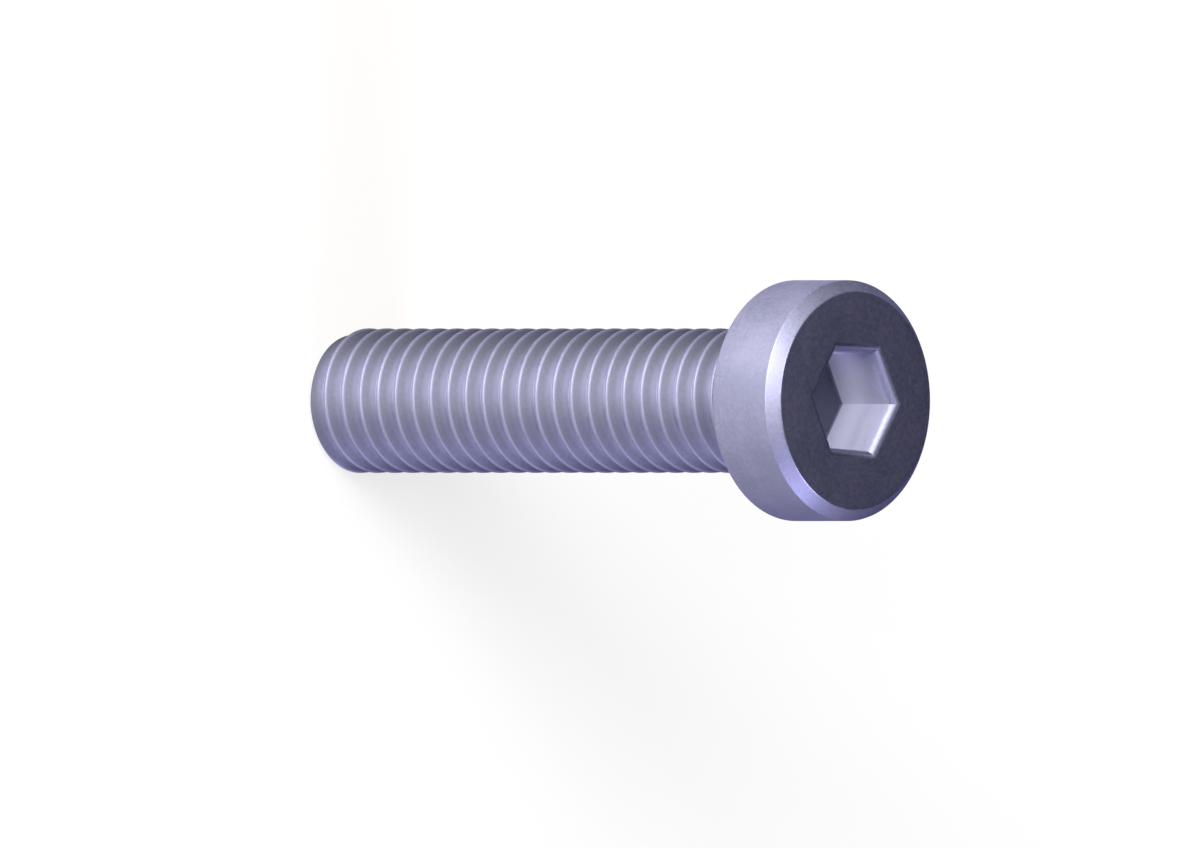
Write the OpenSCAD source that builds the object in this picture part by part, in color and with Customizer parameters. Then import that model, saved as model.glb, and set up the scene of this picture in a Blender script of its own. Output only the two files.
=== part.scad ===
// Fully threaded cap screw with a low chamfered head and a hexagon key socket.
// It stands on its flat tip. The origin is the centre of the tip's end face, and +Z runs up
// the shank to the head. The shank is the cylinder over the thread's crests.

/* [Thread] */
// Diameter over the thread's crests
thread_d = 6; // [3:0.5:8]
// Length from the tip to the head's underside
shank_l = 25; // [8:1:80]
// Size of the 45 degree chamfer that leads the tip into a hole
tip_chamfer = 0.3; // [0.1:0.05:0.8]
// Radius of the fillet between the shank and the head
neck_fillet = 0.25; // [0.1:0.05:0.6]

/* [Head] */
// Diameter of the head
head_d = 10; // [8:0.5:20]
// Height of the head, from its underside to its face
head_h = 3.5; // [2:0.25:10]
// Width of the chamfer around the face, along the radius
rim_width = 0.5; // [0.1:0.05:1.2]
// Depth of the chamfer around the face, along the axis
rim_depth = 0.45; // [0.1:0.05:1.5]
// Size of the broken edge around the underside
edge_break = 0.1; // [0.05:0.05:0.5]

/* [Key socket] */
// Width of the hexagon key across its flats
key_w = 4; // [2:0.5:5]
// Clearance between the key and the socket, across the flats
key_clear = 0.05; // [0.02:0.01:0.2]
// Depth of the socket, from the face to its flat floor
socket_depth = 3; // [1:0.25:6]
// Radius of the rounded lip around the socket's mouth
lip_r = 0.4; // [0.1:0.05:0.8]

/* [Hidden] */
$fn = 96;

thread_r = thread_d / 2;
head_r = head_d / 2;
face_z = shank_l + head_h;

// The lip turns through this angle from the wall, and leaves a fine edge where it meets the face.
lip_turn = 80;
socket_r = (key_w + key_clear) / 2;
mouth_r = socket_r + lip_r * (1 - cos(lip_turn));
lip_z = face_z - lip_r * sin(lip_turn);
floor_z = face_z - socket_depth;

// The cut runs on past the face and past the rim by this much.
overrun = 1;

// Half of the screw's section, from the axis out. The fillet at the neck is what a circle
// leaves of a small square.
module half_section() {
    fillet_r = thread_r + neck_fillet;
    fillet_z = shank_l - neck_fillet;
    difference() {
        polygon([
            [0, 0],
            [thread_r - tip_chamfer, 0],
            [thread_r, tip_chamfer],
            [thread_r, fillet_z],
            [fillet_r, fillet_z],
            [fillet_r, shank_l],
            [head_r - edge_break, shank_l],
            [head_r, shank_l + edge_break],
            [head_r, face_z - rim_depth],
            [head_r - rim_width, face_z],
            [0, face_z]
        ]);
        translate([fillet_r, fillet_z]) circle(neck_fillet);
    }
}

// Section across two opposite flats of the socket. The walls stand up to the lip, which
// curves outwards to the face.
module flats_section() {
    difference() {
        translate([-mouth_r, floor_z]) square([2 * mouth_r, socket_depth + overrun]);
        for (side = [-1, 1]) translate([side * (socket_r + lip_r), 0]) {
            translate([-lip_r, 0]) square([2 * lip_r, lip_z]);
            translate([0, lip_z]) circle(lip_r);
        }
    }
}

// The space inside the socket. Three pairs of flats cross at 60 degrees, so that their
// rounded lips meet in mitres at the six corners.
module key_socket() {
    intersection_for (turn = [0, 60, 120]) rotate([0, 0, turn]) rotate([90, 0, 0])
        linear_extrude(height = head_d + 2 * overrun, center = true) flats_section();
}

module bolt() {
    color([0.61, 0.61, 0.70]) difference() {
        rotate_extrude() half_section();
        key_socket();
    }
}

bolt();
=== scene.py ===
import math

import bpy
from mathutils import Matrix, Vector


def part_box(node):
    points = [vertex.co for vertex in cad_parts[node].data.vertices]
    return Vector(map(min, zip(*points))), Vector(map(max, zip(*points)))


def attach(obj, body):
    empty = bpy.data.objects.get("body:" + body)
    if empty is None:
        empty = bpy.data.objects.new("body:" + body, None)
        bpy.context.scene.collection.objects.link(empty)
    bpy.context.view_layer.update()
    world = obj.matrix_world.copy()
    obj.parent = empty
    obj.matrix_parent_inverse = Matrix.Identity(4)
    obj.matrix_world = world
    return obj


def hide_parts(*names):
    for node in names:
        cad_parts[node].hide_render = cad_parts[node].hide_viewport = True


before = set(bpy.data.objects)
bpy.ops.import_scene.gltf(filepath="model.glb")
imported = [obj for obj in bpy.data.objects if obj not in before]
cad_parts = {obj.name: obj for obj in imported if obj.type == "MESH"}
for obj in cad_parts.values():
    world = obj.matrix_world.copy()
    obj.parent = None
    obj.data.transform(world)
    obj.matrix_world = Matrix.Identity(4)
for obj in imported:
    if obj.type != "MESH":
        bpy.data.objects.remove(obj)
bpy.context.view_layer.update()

# The screw stands on its tip at the origin, head up. The head's place and radius come from the
# frame. All lengths are in metres where nothing else is said.
MM = 0.001
screw_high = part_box("bolt")[1]
FACE_Z = screw_high.z
HEAD_R = max(screw_high.x, screw_high.y)
HEAD_HEIGHT = 3.5 * MM
UNDER_Z = FACE_Z - HEAD_HEIGHT
RIM_WIDTH = 0.5 * MM
RIM_DEPTH = 0.45 * MM
RIM_ROUND = 0.06 * MM
UNDER_ROUND = 0.12 * MM

# The neck between the last full thread and the head has the diameter of the rolled blank.
NECK_R = 2.68 * MM
NECK_LENGTH = 0.8 * MM
NECK_FILLET = 0.25 * MM
NECK_SLOPE = 2

# A 60 degree thread with a flat crest and a round root.
THREAD_R = 3.0 * MM
PITCH = 1.0 * MM
THREAD_TALL = PITCH * math.sqrt(3) / 2
CREST_FLAT = PITCH / 8
CREST_ROUND = 0.025 * MM
ROOT_ROUND = THREAD_TALL / 6
ROOT_R = THREAD_R - THREAD_TALL * 17 / 24
FLANK_ANGLE = math.radians(30)
TIP_CHAMFER = 0.3 * MM
TIP_ROUND = 0.04 * MM

# The near crests stand at this height in the photograph's view.
NEAR_CREST_Z = 1.06 * MM

# The key socket has its corners on the Y axis. On the face its outline lies inside MOUTH_R.
SOCKET_FLAT = 2.025 * MM
SOCKET_DEPTH = 3.0 * MM
LIP_ROUND = 0.4 * MM
LIP_TURN = math.radians(80)
FLOOR_ROUND = 0.08 * MM
MOUTH_R = 3.2 * MM

# How far the forms run past each other before they are joined or cut.
THREAD_OVERRUN = PITCH / 4
SPARE_TURNS = 3
LIMITS_OUT = 0.2 * MM
LIMITS_TOP = UNDER_Z - PITCH / 2
CORE_OVERLAP = 0.1 * MM
SOCKET_OVERRUN = 0.5 * MM

# How finely the round forms are divided, and how near two points are one.
HEAD_STEPS = 192
THREAD_STEPS = 128
ARC_STEP = math.radians(12)
LIP_STEP = ARC_STEP / 2
ROOT_STEP = math.radians(20)
WELD = 1e-6
SMOOTH_ANGLE = math.radians(32)

# The photograph looks along a line that rises from the tip's side at this angle, and it shows
# the screw across the picture, so the camera is rolled a quarter turn.
PHOTO_WIDTH = 1200
PIXELS_PER_MM = 24.1
VIEW_TURN = math.radians(3.5)
VIEW_RISE = math.radians(43.24)
AIM_Z = 13.95 * MM
AIM_DROP = 0.97 * MM
CAMERA_DISTANCE = 0.3

# Linear colours of the blue zinc plating, of the painted shade on the thread's flanks, of the pale
# steel
# # painted as light on the broached walls (paler further down, to even out the shade under the lip), of
# the
# # painted shade on the socket's floor, of the paper below and of the lamps.
PLATING_DEEP = (0.22, 0.225, 0.31)
PLATING_PALE = (0.275, 0.27, 0.365)
PLATING_EDGE = (0.06, 0.06, 0.3)
FLANK_PAINTED_SHADE = (0.15, 0.15, 0.195)
SOCKET_WALL_PAINTED_LIGHT = (0.7, 0.7, 0.84)
SOCKET_FLOOR_PAINTED_SHADE = (0.145, 0.145, 0.2)
PAPER = (0.19, 0.19, 0.19)
PAPER_GLOW = (0.71, 0.7, 0.67)
BLACK = (0.0, 0.0, 0.0)
WHITE = (1.0, 1.0, 1.0)
LILAC = (0.68, 0.67, 1.0)
VIOLET = (0.2, 0.2, 1.0)

# Where each finish fades in, in millimetres. Its share is 0 at the first value and 1 at the
# second. CREST_FADE, ROOT_FADE and SOCKET_FADE are radii, and the rest are depths below the face.
FACE_FADE = (0.06, 0.01)
TURNED_FADE = (0.5, 0.42)
WALL_FADE = (0.14, 0.44)
# The painted light on the socket's walls grows over these depths, paler further down, to even out the
# lip's shade.
PAINTED_WALL_LIGHT_FADE = (0.5, 2.3)
FLOOR_FADE = (SOCKET_DEPTH / MM - 0.12, SOCKET_DEPTH / MM - 0.02)
HEAD_FADE = (HEAD_HEIGHT / MM, HEAD_HEIGHT / MM - 0.1)
SHANK_FADE = (HEAD_HEIGHT / MM, HEAD_HEIGHT / MM + 0.1)
CREST_FADE = (THREAD_R / MM - 0.02, THREAD_R / MM - 0.1)
ROOT_FADE = (ROOT_R / MM + 0.05, THREAD_R / MM - 0.25)
SOCKET_FADE = (3.1, 2.9)

# The finish's textures, each as its scale for one millimetre, its detail and its roughness.
GRAIN = (7.0, 2, 0.5)
RINGS = (9.0, 3, 0.6)
CLOUD = (0.5, 2, 0.5)

# How much each texture mottles the colour, and between which values of their sum it turns pale.
CLOUD_TONE = 0.4
GRAIN_TONE = 0.35
RINGS_TONE = 0.25
MOTTLE_FADE = (0.36, 0.64)
# How much painted shade the thread's flanks take, and how much the grain varies it.
FLANK_TONE = 0.8
FLANK_GRAIN = 0.3

# The roughness of the plating, and what each texture and place adds to it or takes away.
PLATING_ROUGH = 0.5
GRAIN_ROUGH = 0.16
RINGS_ROUGH = 0.14
WALL_ROUGH = 0.1
SHANK_SMOOTH = 0.06
TURNED_SMOOTH = 0.12
FACE_SMOOTH = 0.16
WALL_MATT = 0.75
PAPER_ROUGH = 0.9

# The relief of the textures.
GRAIN_RELIEF = 0.5
RINGS_RELIEF = 0.4
BUMP_STRENGTH = 0.4
BUMP_DISTANCE = 0.02 * MM

# The soft light all round, as stops from 0, opposite its brightest point, to 1, at that point.
DOME_TURN = math.radians(-18)
DOME_RISE = math.radians(50)
DOME_STOPS = (
    (0, (0.05, 0.05, 0.08)),
    (0.5, (0.09, 0.09, 0.13)),
    (0.6, (0.12, 0.12, 0.17)),
    (0.7, (0.36, 0.36, 0.43)),
    (0.835, (0.5, 0.5, 0.56)),
    (0.933, (0.45, 0.45, 0.5)),
    (1, (0.6, 0.6, 0.64)),
)

# The lamps, with their directions in degrees, their sides in metres and their irradiance.
LAMPS = {
    "key": {"azimuth": -27, "rise": 36, "side": 1.2, "light": 4.2, "tint": WHITE},
    "low": {"azimuth": -31, "rise": 9, "side": 0.5, "light": 6.5, "tint": WHITE},
    "fill": {"azimuth": 75, "rise": 5, "side": 0.8, "light": 0.5, "tint": VIOLET},
    "side": {"azimuth": 92, "rise": 33, "side": 0.6, "light": 2, "tint": LILAC},
    "top": {"azimuth": -105, "rise": 38, "side": 0.9, "light": 0.25, "tint": WHITE},
}
LAMP_DISTANCE = 1.5
FLOOR_WIDTH = 6


def deselect():
    bpy.ops.object.select_all(action="DESELECT")


def make_active(piece):
    deselect()
    piece.select_set(True)
    bpy.context.view_layer.objects.active = piece


def start_edit(piece):
    make_active(piece)
    bpy.ops.object.mode_set(mode="EDIT")
    bpy.ops.mesh.select_all(action="SELECT")


def end_edit():
    bpy.ops.object.mode_set(mode="OBJECT")


def direction(azimuth, rise):
    """The way out from the screw. Azimuth 0 is the camera's side, and a quarter turn is +X."""
    level = Vector((math.sin(azimuth), -math.cos(azimuth), 0))
    return level * math.cos(rise) + Vector((0, 0, math.sin(rise)))


def rounded(corners, turn_step):
    """The outline through the corners, each given as (across, up, radius) and turned into an arc."""
    points = []
    for i, (across, up, radius) in enumerate(corners):
        corner = Vector((across, up))
        if not radius:
            points.append(corner)
            continue
        back = (Vector(corners[i - 1][:2]) - corner).normalized()
        ahead = (Vector(corners[i + 1][:2]) - corner).normalized()
        half = back.angle(ahead) / 2
        centre = corner + (back + ahead).normalized() * radius / math.sin(half)
        sweep = math.copysign(math.pi - 2 * half, back.cross(ahead))
        steps = math.ceil(abs(sweep) / turn_step)
        first = corner + back * radius / math.tan(half) - centre
        for k in range(steps + 1):
            points.append(centre + Matrix.Rotation(-sweep * k / steps, 2) @ first)
    return points


def chain(name, points):
    """A new mesh of edges in the XZ plane, drawn by extruding one corner from point to point."""
    deselect()
    bpy.ops.mesh.primitive_plane_add(size=MM, location=(points[0].x, 0, points[0].y))
    piece = bpy.context.object
    piece.name = piece.data.name = name
    bpy.ops.object.transform_apply(location=True, rotation=False, scale=False)
    start_edit(piece)
    bpy.ops.mesh.merge(type="CENTER")
    for here, there in zip(points, points[1:]):
        move = (there.x - here.x, 0, there.y - here.y)
        bpy.ops.mesh.extrude_vertices_move(TRANSFORM_OT_translate={"value": move})
    end_edit()
    return piece


def close_up():
    """Welds the mesh in edit mode, and turns its faces outwards."""
    bpy.ops.mesh.select_all(action="SELECT")
    bpy.ops.mesh.remove_doubles(threshold=WELD)
    bpy.ops.mesh.normals_make_consistent(inside=False)


def turned(name, points, steps):
    """A solid of revolution about the screw's axis. The outline starts and ends on the axis."""
    piece = chain(name, points)
    start_edit(piece)
    bpy.ops.mesh.spin(steps=steps, angle=2 * math.pi, center=(0, 0, 0), axis=(0, 0, 1))
    close_up()
    end_edit()
    return piece


def combine(piece, tool, operation):
    """Joins the tool to the piece, cuts it out or keeps what both share, and removes the tool."""
    step = piece.modifiers.new(operation.lower(), "BOOLEAN")
    step.operation = operation
    step.solver = "EXACT"
    step.object = tool
    make_active(piece)
    bpy.ops.object.modifier_apply(modifier=step.name)
    bpy.data.objects.remove(tool)


def thread_profile():
    """One pitch of the thread, from the middle of a root over the crest to the next root."""
    depth = THREAD_R - ROOT_R
    foot = CREST_FLAT / 2 + depth * math.tan(FLANK_ANGLE)
    root_centre = Vector((ROOT_R + ROOT_ROUND, PITCH / 2))
    turn = math.pi / 2 - FLANK_ANGLE
    steps = math.ceil(turn / ROOT_STEP)
    root = [
        root_centre + ROOT_ROUND * Vector((-math.cos(turn * k / steps), -math.sin(turn * k / steps)))
        for k in range(steps + 1)
    ]
    crest = rounded([
        (ROOT_R, foot, 0),
        (THREAD_R, CREST_FLAT / 2, CREST_ROUND),
        (THREAD_R, -CREST_FLAT / 2, CREST_ROUND),
        (ROOT_R, -foot, 0),
    ], ROOT_STEP)[1:-1]
    mirrored = [Vector((p.x, -p.y)) for p in reversed(root)]
    return root + crest + mirrored


def wind(piece):
    """Winds the profile up into a helix that is longer than the screw."""
    step = piece.modifiers.new("helix", "SCREW")
    step.axis = "Z"
    step.angle = 2 * math.pi
    step.screw_offset = PITCH
    step.iterations = math.ceil(UNDER_Z / PITCH) + SPARE_TURNS
    step.steps = step.render_steps = THREAD_STEPS
    step.use_merge_vertices = False
    make_active(piece)
    bpy.ops.object.modifier_apply(modifier=step.name)


def thread_helix():
    """The thread as a closed solid that starts below the tip and ends inside the neck."""
    near_angle = VIEW_TURN - math.pi / 2
    start_z = NEAR_CREST_Z - PITCH * near_angle / (2 * math.pi)
    while start_z > -PITCH:
        start_z -= PITCH
    piece = chain("bolt_thread", [Vector((p.x, p.y + start_z)) for p in thread_profile()])
    wind(piece)
    start_edit(piece)
    bpy.ops.mesh.remove_doubles(threshold=WELD)
    for height, above in ((-THREAD_OVERRUN, False), (UNDER_Z - THREAD_OVERRUN, True)):
        bpy.ops.mesh.select_all(action="SELECT")
        bpy.ops.mesh.bisect(
            plane_co=(0, 0, height), plane_no=(0, 0, 1), use_fill=True,
            clear_inner=not above, clear_outer=above, threshold=WELD / 10,
        )
    close_up()
    end_edit()
    return piece


def thread_limits():
    """What the thread is cut back to: the chamfered tip, and the run-out into the neck."""
    out = THREAD_R + LIMITS_OUT
    out_z = TIP_CHAMFER + out - THREAD_R
    top = UNDER_Z - NECK_LENGTH
    inside = NECK_R - CORE_OVERLAP
    return turned("bolt_limits", rounded([
        (0, 0, 0),
        (THREAD_R - TIP_CHAMFER, 0, TIP_ROUND),
        (out, out_z, 0),
        (out, top - (out - NECK_R), 0),
        (inside, top + (NECK_R - inside), 0),
        (inside, LIMITS_TOP, 0),
        (0, LIMITS_TOP, 0),
    ], ARC_STEP), HEAD_STEPS)


def head_blank():
    """The head with its neck. The neck's foot tapers into the thread's core."""
    top = UNDER_Z - NECK_LENGTH
    inside = ROOT_R - CORE_OVERLAP
    foot = top - NECK_SLOPE * (NECK_R - inside)
    return turned("bolt_head", rounded([
        (0, foot, 0),
        (inside, foot, 0),
        (NECK_R, top, 0),
        (NECK_R, UNDER_Z, NECK_FILLET),
        (HEAD_R, UNDER_Z, UNDER_ROUND),
        (HEAD_R, FACE_Z - RIM_DEPTH, RIM_ROUND),
        (HEAD_R - RIM_WIDTH, FACE_Z, RIM_ROUND),
        (0, FACE_Z, 0),
    ], ARC_STEP), HEAD_STEPS)


def socket_outline():
    """The socket's half section across its flats: the floor, a wall, the lip and the space above."""
    floor_z = FACE_Z - SOCKET_DEPTH
    lip_z = FACE_Z - LIP_ROUND * math.sin(LIP_TURN)
    outline = rounded([
        (0, floor_z, 0),
        (SOCKET_FLAT, floor_z, FLOOR_ROUND),
        (SOCKET_FLAT, lip_z, 0),
    ], ARC_STEP)
    steps = math.ceil(LIP_TURN / LIP_STEP)
    for k in range(1, steps + 1):
        turn = LIP_TURN * k / steps
        outline.append(Vector((
            SOCKET_FLAT + LIP_ROUND * (1 - math.cos(turn)),
            lip_z + LIP_ROUND * math.sin(turn),
        )))
    outline.append(Vector((outline[-1].x, FACE_Z + SOCKET_OVERRUN)))
    outline.append(Vector((0, FACE_Z + SOCKET_OVERRUN)))
    return outline


def key_space():
    """The space inside the socket, as six turns of one corner's outline."""
    to_corner = 1 / math.cos(math.pi / 6)
    piece = turned("bolt_socket", [Vector((p.x * to_corner, p.y)) for p in socket_outline()], 6)
    start_edit(piece)
    bpy.ops.transform.rotate(value=math.pi / 6, orient_axis="Z", center_override=(0, 0, 0))
    end_edit()
    return piece


def crease_mouth(piece):
    """Marks the socket's outline on the face as sharp, so that the flat face is shaded flat."""
    inside = [v.co.z > FACE_Z - WELD and v.co.xy.length < MOUTH_R for v in piece.data.vertices]
    start_edit(piece)
    bpy.ops.mesh.select_mode(type="EDGE")
    bpy.ops.mesh.select_all(action="DESELECT")
    end_edit()
    for edge in piece.data.edges:
        edge.select = all(inside[v] for v in edge.vertices)
    bpy.ops.object.mode_set(mode="EDIT")
    bpy.ops.mesh.mark_sharp()
    end_edit()


def smooth(piece):
    """Shades the round forms smooth and leaves the flat ones flat."""
    make_active(piece)
    bpy.ops.object.shade_smooth_by_angle(angle=SMOOTH_ANGLE)
    crease_mouth(piece)
    even = piece.modifiers.new("even", "WEIGHTED_NORMAL")
    even.keep_sharp = True
    bpy.ops.object.modifier_apply(modifier=even.name)


def screw():
    """The whole screw as one closed mesh."""
    piece = thread_helix()
    combine(piece, thread_limits(), "INTERSECT")
    combine(piece, head_blank(), "UNION")
    combine(piece, key_space(), "DIFFERENCE")
    piece.name = piece.data.name = "bolt_screw"
    smooth(piece)
    piece.data.materials.clear()
    piece.data.materials.append(plated_steel())
    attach(piece, "root")
    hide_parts("bolt")


class Field:
    """A number that varies over a surface. An expression on it adds its Math nodes."""

    def __init__(self, nodes, socket):
        self.nodes = nodes
        self.socket = socket

    def math(self, operation, first, second):
        return self.nodes.add("ShaderNodeMath", {"operation": operation}, {0: first, 1: second})

    def __add__(self, other):
        return self.math("ADD", self, other)

    def __radd__(self, other):
        return self.math("ADD", other, self)

    def __sub__(self, other):
        return self.math("SUBTRACT", self, other)

    def __rsub__(self, other):
        return self.math("SUBTRACT", other, self)

    def __mul__(self, other):
        return self.math("MULTIPLY", self, other)

    def __rmul__(self, other):
        return self.math("MULTIPLY", other, self)


class Nodes:
    """The node tree of one material or world."""

    def __init__(self, owner, shader):
        owner.use_nodes = True
        self.owner = owner
        self.tree = owner.node_tree
        self.shader = self.tree.nodes[shader]

    def add(self, kind, settings, values, output=0):
        """A node of this type, set first and fed next, as the field of one of its outputs."""
        node = self.tree.nodes.new(kind)
        for name, value in settings.items():
            if name == "stops":
                self.set_ramp(node.color_ramp, value)
            else:
                setattr(node, name, value)
        for name, value in values.items():
            self.feed(node.inputs[name], value)
        return Field(self, node.outputs[output])

    def feed(self, socket, value):
        if isinstance(value, Field):
            self.tree.links.new(value.socket, socket)
        elif socket.type == "RGBA":
            socket.default_value = (*value, 1)
        else:
            socket.default_value = value

    def set_ramp(self, ramp, stops):
        while len(ramp.elements) > 1:
            ramp.elements.remove(ramp.elements[-1])
        for position, colour in stops:
            stop = ramp.elements.new(position)
            stop.color = (*colour, 1)
        ramp.elements.remove(ramp.elements[0])

    def set(self, **values):
        """Feeds the shader's sockets, named with low dashes for spaces."""
        for name, value in values.items():
            self.feed(self.shader.inputs[name.replace("_", " ")], value)

    def vector(self, operation, first, second=(0, 0, 0), output=0):
        return self.add("ShaderNodeVectorMath", {"operation": operation}, {0: first, 1: second}, output)

    def step(self, value, low, high):
        """A smooth rise from 0 at low to 1 at high, or a fall where low is above high."""
        settings = {"interpolation_type": "SMOOTHSTEP", "clamp": True}
        ends = {"From Min": min(low, high), "From Max": max(low, high)}
        rise = self.add("ShaderNodeMapRange", settings, {"Value": value, **ends})
        return rise if low < high else 1 - rise

    def noise(self, place, scale, detail, rough):
        values = {"Vector": place, "Scale": scale, "Detail": detail, "Roughness": rough}
        return self.add("ShaderNodeTexNoise", {}, values)

    def mix(self, share, first, second):
        """A colour between two colours."""
        return self.add("ShaderNodeMix", {"data_type": "RGBA"}, {0: share, 6: first, 7: second}, 2)

    def millimetres(self):
        place = self.add("ShaderNodeTexCoord", {}, {}, "Object")
        return self.vector("MULTIPLY", place, (1 / MM, 1 / MM, 1 / MM))


class Finish:
    """The parts of the screw, each as a share from 0 to 1, and the textures of its finish."""

    def __init__(self, nodes):
        place = nodes.millimetres()
        height = nodes.add("ShaderNodeSeparateXYZ", {}, {0: place}, "Z")
        radius = nodes.vector("LENGTH", nodes.vector("MULTIPLY", place, (1, 1, 0)), output="Value")
        depth = FACE_Z / MM - height
        self.place_parts(nodes, depth, radius)
        self.grain = nodes.noise(place, *GRAIN)
        self.cloud = nodes.noise(place, *CLOUD)
        tool_path = (radius + height) * (1 - self.wall)
        self.rings = nodes.noise(nodes.add("ShaderNodeCombineXYZ", {}, {0: tool_path}), *RINGS)

    def place_parts(self, nodes, depth, radius):
        """The turned end and its face, the shank and its flanks, and the socket's walls and floor."""
        self.face = nodes.step(depth, *FACE_FADE)
        self.turned = nodes.step(depth, *TURNED_FADE)
        self.shank = nodes.step(depth, *SHANK_FADE)
        self.flank = nodes.step(radius, *CREST_FADE) * nodes.step(radius, *ROOT_FADE) * self.shank
        socket = nodes.step(radius, *SOCKET_FADE)
        low = nodes.step(depth, *FLOOR_FADE)
        self.floor = low * nodes.step(depth, *HEAD_FADE) * socket
        self.wall = (1 - low) * nodes.step(depth, *WALL_FADE) * socket
        # Where light is painted on the walls: none at the mouth and most further down, to even out the
        # lip's shade.
        self.painted_wall_light = self.wall * nodes.step(depth, *PAINTED_WALL_LIGHT_FADE)


def plating_colour(nodes, finish):
    """Mottled plating, with painted shade on the thread's flanks and on the socket's floor, and pale
    steel painted as light down the socket's walls.
    """
    mottle = finish.cloud * CLOUD_TONE + finish.grain * GRAIN_TONE + finish.rings * RINGS_TONE
    colour = nodes.mix(nodes.step(mottle, *MOTTLE_FADE), PLATING_DEEP, PLATING_PALE)
    # Painted shade on the thread's flanks.
    colour = nodes.mix(finish.flank * (FLANK_TONE + finish.grain * FLANK_GRAIN), colour, FLANK_PAINTED_SHADE)
    # Painted shade on the socket's floor.
    colour = nodes.mix(finish.floor, colour, SOCKET_FLOOR_PAINTED_SHADE)
    # Pale steel painted as light on the socket's walls, paler further down.
    return nodes.mix(finish.painted_wall_light, colour, SOCKET_WALL_PAINTED_LIGHT)


def plating_roughness(finish):
    """Dull on the rolled side of the head, duller on the broached walls, smoothest on the face."""
    rough = PLATING_ROUGH + finish.grain * GRAIN_ROUGH + finish.rings * RINGS_ROUGH
    rough = rough + finish.wall * WALL_ROUGH - finish.shank * SHANK_SMOOTH
    return rough - finish.turned * TURNED_SMOOTH - finish.face * FACE_SMOOTH


def plating_relief(nodes, finish):
    """A fine grain all over, and the rings that the tool leaves on the head."""
    relief = finish.grain * GRAIN_RELIEF + finish.rings * (1 - finish.shank) * RINGS_RELIEF
    values = {"Strength": BUMP_STRENGTH, "Distance": BUMP_DISTANCE, "Height": relief}
    return nodes.add("ShaderNodeBump", {}, values)


def plated_steel():
    """Satin zinc plating with a faint blue passivation."""
    nodes = Nodes(bpy.data.materials.new("zinc_plating"), "Principled BSDF")
    finish = Finish(nodes)
    nodes.set(
        Base_Color=plating_colour(nodes, finish),
        Metallic=1 - finish.wall * WALL_MATT,
        Roughness=plating_roughness(finish),
        Normal=plating_relief(nodes, finish),
        Specular_Tint=PLATING_EDGE,
    )
    return nodes.owner


def paper():
    """White paper. It shows white to the camera and in the metal, and keeps a faint shadow."""
    nodes = Nodes(bpy.data.materials.new("paper"), "Principled BSDF")
    seen = sum(
        nodes.add("ShaderNodeLightPath", {}, {}, f"Is {kind} Ray")
        for kind in ("Camera", "Glossy", "Transmission")
    )
    glow = nodes.mix(seen, BLACK, PAPER_GLOW)
    nodes.set(Base_Color=PAPER, Roughness=PAPER_ROUGH, Emission_Color=glow, Emission_Strength=1)
    return nodes.owner


def ground():
    """The plain floor that the screw stands on."""
    deselect()
    bpy.ops.mesh.primitive_plane_add(size=FLOOR_WIDTH)
    made = bpy.context.object
    made.name = made.data.name = "floor"
    made.data.materials.append(paper())


def dome():
    """Soft light from above the camera's side, dim on the far side and below."""
    nodes = Nodes(bpy.data.worlds.new("studio"), "Background")
    outwards = nodes.vector("NORMALIZE", nodes.add("ShaderNodeTexCoord", {}, {}, "Generated"))
    brightest = direction(DOME_TURN, DOME_RISE)
    nearness = nodes.vector("DOT_PRODUCT", outwards, brightest, "Value") * 0.5 + 0.5
    light = nodes.add("ShaderNodeValToRGB", {"stops": DOME_STOPS}, {0: nearness})
    nodes.set(Color=light, Strength=1)
    bpy.context.scene.world = nodes.owner


def softbox(name, azimuth, rise, side, light, tint):
    """A square lamp that looks at the screw."""
    outwards = direction(math.radians(azimuth), math.radians(rise))
    data = bpy.data.lights.new(name, "AREA")
    data.shape = "SQUARE"
    data.size = side
    data.energy = light * math.pi * LAMP_DISTANCE ** 2
    data.color = tint
    made = bpy.data.objects.new(name, data)
    bpy.context.collection.objects.link(made)
    made.location = outwards * LAMP_DISTANCE
    made.rotation_mode = "QUATERNION"
    made.rotation_quaternion = outwards.to_track_quat("Z", "Y")


def camera():
    """The photograph's view: parallel lines, rolled so that the head points right."""
    back = direction(VIEW_TURN, VIEW_RISE)
    right = direction(VIEW_TURN, VIEW_RISE + math.pi / 2)
    up = back.cross(right)
    data = bpy.data.cameras.new("camera")
    data.type = "ORTHO"
    data.ortho_scale = PHOTO_WIDTH / PIXELS_PER_MM * MM
    made = bpy.data.objects.new("camera", data)
    bpy.context.collection.objects.link(made)
    place = Vector((0, 0, AIM_Z)) - up * AIM_DROP + back * CAMERA_DISTANCE
    turn = Matrix((right, up, back)).transposed().to_4x4()
    made.matrix_world = Matrix.Translation(place) @ turn
    bpy.context.scene.camera = made


screw()
ground()
camera()
for lamp_name, lamp in LAMPS.items():
    softbox(lamp_name, **lamp)
dome()
bpy.context.scene.view_settings.view_transform = "Standard"
